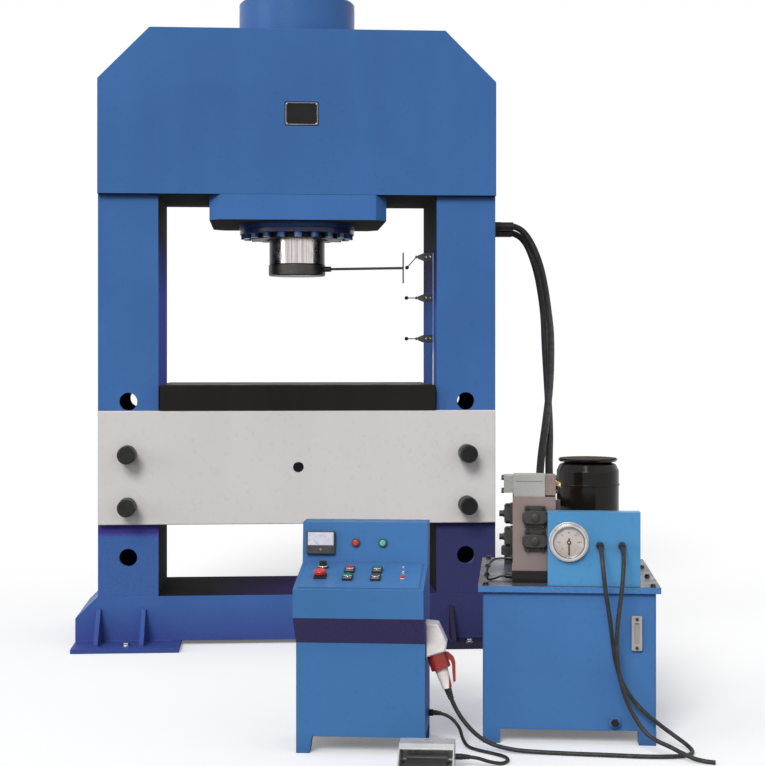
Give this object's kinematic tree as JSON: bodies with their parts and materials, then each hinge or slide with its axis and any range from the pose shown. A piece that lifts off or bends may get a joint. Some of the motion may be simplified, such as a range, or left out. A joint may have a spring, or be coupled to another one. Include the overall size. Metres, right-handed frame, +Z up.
{
  "type": "hydraulic press",
  "caption": "Free-standing hydraulic press with a welded frame, adjustable pinned bed, vertical ram, separate hydraulic power pack, control console and foot switch.",
  "frame": {"origin": "centre of the four anchor holes, on the floor under the press frame", "axes": "+Z up, -Y is the front that the operator faces, +X is the operator's right"},
  "size_m": [2.3708, 3.3956, 3.06],
  "materials": {
    "press_blue": "semi-gloss",
    "bed_grey": "satin",
    "table_black": "satin",
    "pin_black": "oiled",
    "cylinder_blue": "semi-gloss",
    "ram_chrome": "polished",
    "nose_black": "oiled",
    "bolt_steel": "oiled",
    "switch_metal": "cast",
    "bright_steel": "plated",
    "tank_blue": "semi-gloss",
    "lid_grey": "satin",
    "box_blue": "semi-gloss",
    "motor_black": "gloss",
    "manifold_beige": "satin",
    "valve_grey": "cast",
    "coil_black": "moulded",
    "gauge_chrome": "polished",
    "pointer_black": "matt",
    "level_white": "satin",
    "console_blue": "semi-gloss",
    "meter_white": "gloss",
    "red_plastic": "gloss",
    "green_plastic": "gloss",
    "white_plastic": "gloss",
    "black_plastic": "moulded",
    "pedal_silver": "cast",
    "cord_rubber": "matt"
  },
  "bodies": {
    "frame": {"base_beam": "press_blue", "bed_front_plate": "bed_grey", "bed_rear_plate": "bed_grey", "bed_webs": "bed_grey", "breather_cap": "bright_steel", "cable_plug": "red_plastic", "cable_socket": "white_plastic", "console_cabinet": "console_blue", "control_panel": "console_blue", "crown_box": "press_blue", "cylinder_barrel": "cylinder_blue", "directional_valve": "valve_grey", "gauge_box": "box_blue", "gland_bolts": "cylinder_blue", "gland_flange": "cylinder_blue", "hose_bulkhead": "bright_steel", "hose_front": "cord_rubber", "hose_rear": "cord_rubber", "left_foot": "press_blue", "left_upright": "press_blue", "level_gauge": "level_white", "limit_switches": "switch_metal", "mains_cable": "cord_rubber", "manifold_base": "motor_black", "motor": "motor_black", "motor_cowl": "motor_black", "oil_tank": "tank_blue", "panel_meter": "meter_white", "pedal_cable": "cord_rubber", "pedal_housing": "pedal_silver", "pilot_lamps": "red_plastic", "pressure_gauge": "gauge_chrome", "pump": "bolt_steel", "ram_block": "press_blue", "right_foot": "press_blue", "right_upright": "press_blue", "solenoid_valves": "coil_black", "supply_cable": "cord_rubber", "switch_wire": "white_plastic", "table_plate": "table_black", "tank_lid": "lid_grey", "valve_manifold": "manifold_beige"},
    "ram_group": {"ram": "ram_chrome", "ram_nose": "nose_black", "striker_arm": "bright_steel"},
    "lever_upper": {"switch_lever_upper": "bright_steel"},
    "lever_middle": {"switch_lever_middle": "bright_steel"},
    "lever_lower": {"switch_lever_lower": "bright_steel"},
    "pin_upper_left": {"pin_upper_left": "pin_black"},
    "pin_upper_right": {"pin_upper_right": "pin_black"},
    "pin_lower_left": {"pin_lower_left": "pin_black"},
    "pin_lower_right": {"pin_lower_right": "pin_black"},
    "gauge_pointer": {"gauge_pointer": "pointer_black"},
    "stop_button": {"stop_button": "red_plastic"},
    "selector_knob": {"selector_knob": "black_plastic"},
    "pedal_plate": {"pedal_plate": "black_plastic"},
    "button_pump_on": {"button_pump_on": "green_plastic"},
    "button_lower": {"button_lower": "black_plastic"},
    "button_pump_off": {"button_pump_off": "red_plastic"},
    "button_raise": {"button_raise": "green_plastic"}
  },
  "joints": [
    {"name": "ram_slide", "type": "slide", "parent": "frame", "child": "ram_group", "axis": [0, 0, -1], "range_m": [0, 0.48]},
    {"name": "lever_upper_hinge", "type": "hinge", "parent": "frame", "child": "lever_upper", "pos_m": [0.5676, -0.18929, 1.82], "axis": [0, 1, 0], "range_deg": [0, 48]},
    {"name": "lever_middle_hinge", "type": "hinge", "parent": "frame", "child": "lever_middle", "pos_m": [0.5676, -0.18929, 1.624], "axis": [0, 1, 0], "range_deg": [-40, 40], "stiffness_Nm_per_rad": 0.5},
    {"name": "lever_lower_hinge", "type": "hinge", "parent": "frame", "child": "lever_lower", "pos_m": [0.5676, -0.18929, 1.429], "axis": [0, 1, 0], "range_deg": [-40, 40], "stiffness_Nm_per_rad": 0.5},
    {"name": "pin_upper_left_slide", "type": "slide", "parent": "frame", "child": "pin_upper_left", "axis": [0, -1, 0], "range_m": [0, 0.5]},
    {"name": "pin_lower_left_slide", "type": "slide", "parent": "frame", "child": "pin_lower_left", "axis": [0, -1, 0], "range_m": [0, 0.5]},
    {"name": "pin_upper_right_slide", "type": "slide", "parent": "frame", "child": "pin_upper_right", "axis": [0, -1, 0], "range_m": [0, 0.5]},
    {"name": "pin_lower_right_slide", "type": "slide", "parent": "frame", "child": "pin_lower_right", "axis": [0, -1, 0], "range_m": [0, 0.5]},
    {"name": "pointer_hinge", "type": "hinge", "parent": "frame", "child": "gauge_pointer", "pos_m": [0.89946, -2.38859, 0.704], "axis": [0.1478, 0.989, 0], "range_deg": [0, 270], "stiffness_Nm_per_rad": 0.01},
    {"name": "button_pump_on_press", "type": "slide", "parent": "frame", "child": "button_pump_on", "axis": [0.0304, 0.2037, -0.9785], "range_m": [0, 0.004], "stiffness_N_per_m": 300, "springref_m": -0.002},
    {"name": "button_lower_press", "type": "slide", "parent": "frame", "child": "button_lower", "axis": [0.0304, 0.2037, -0.9785], "range_m": [0, 0.004], "stiffness_N_per_m": 300, "springref_m": -0.002},
    {"name": "button_pump_off_press", "type": "slide", "parent": "frame", "child": "button_pump_off", "axis": [0.0304, 0.2037, -0.9785], "range_m": [0, 0.004], "stiffness_N_per_m": 300, "springref_m": -0.002},
    {"name": "button_raise_press", "type": "slide", "parent": "frame", "child": "button_raise", "axis": [0.0304, 0.2037, -0.9785], "range_m": [0, 0.004], "stiffness_N_per_m": 300, "springref_m": -0.002},
    {"name": "stop_button_press", "type": "slide", "parent": "frame", "child": "stop_button", "axis": [0.0304, 0.2037, -0.9785], "range_m": [0, 0.005], "stiffness_N_per_m": 500, "springref_m": -0.002},
    {"name": "selector_turn", "type": "hinge", "parent": "frame", "child": "selector_knob", "pos_m": [0.04999, -2.32426, 0.62361], "axis": [-0.0304, -0.2037, 0.9785], "range_deg": [-45, 45]},
    {"name": "pedal_hinge", "type": "hinge", "parent": "frame", "child": "pedal_plate", "pos_m": [0.38135, -2.65651, 0.03], "axis": [0.989, -0.1478, 0], "range_deg": [0, 8], "stiffness_Nm_per_rad": 30, "springref_deg": -8.59}
  ],
  "couplings": [
    {"joint": "lever_upper_hinge", "follows": "ram_slide", "rad_per_m": 1.7453}
  ]
}
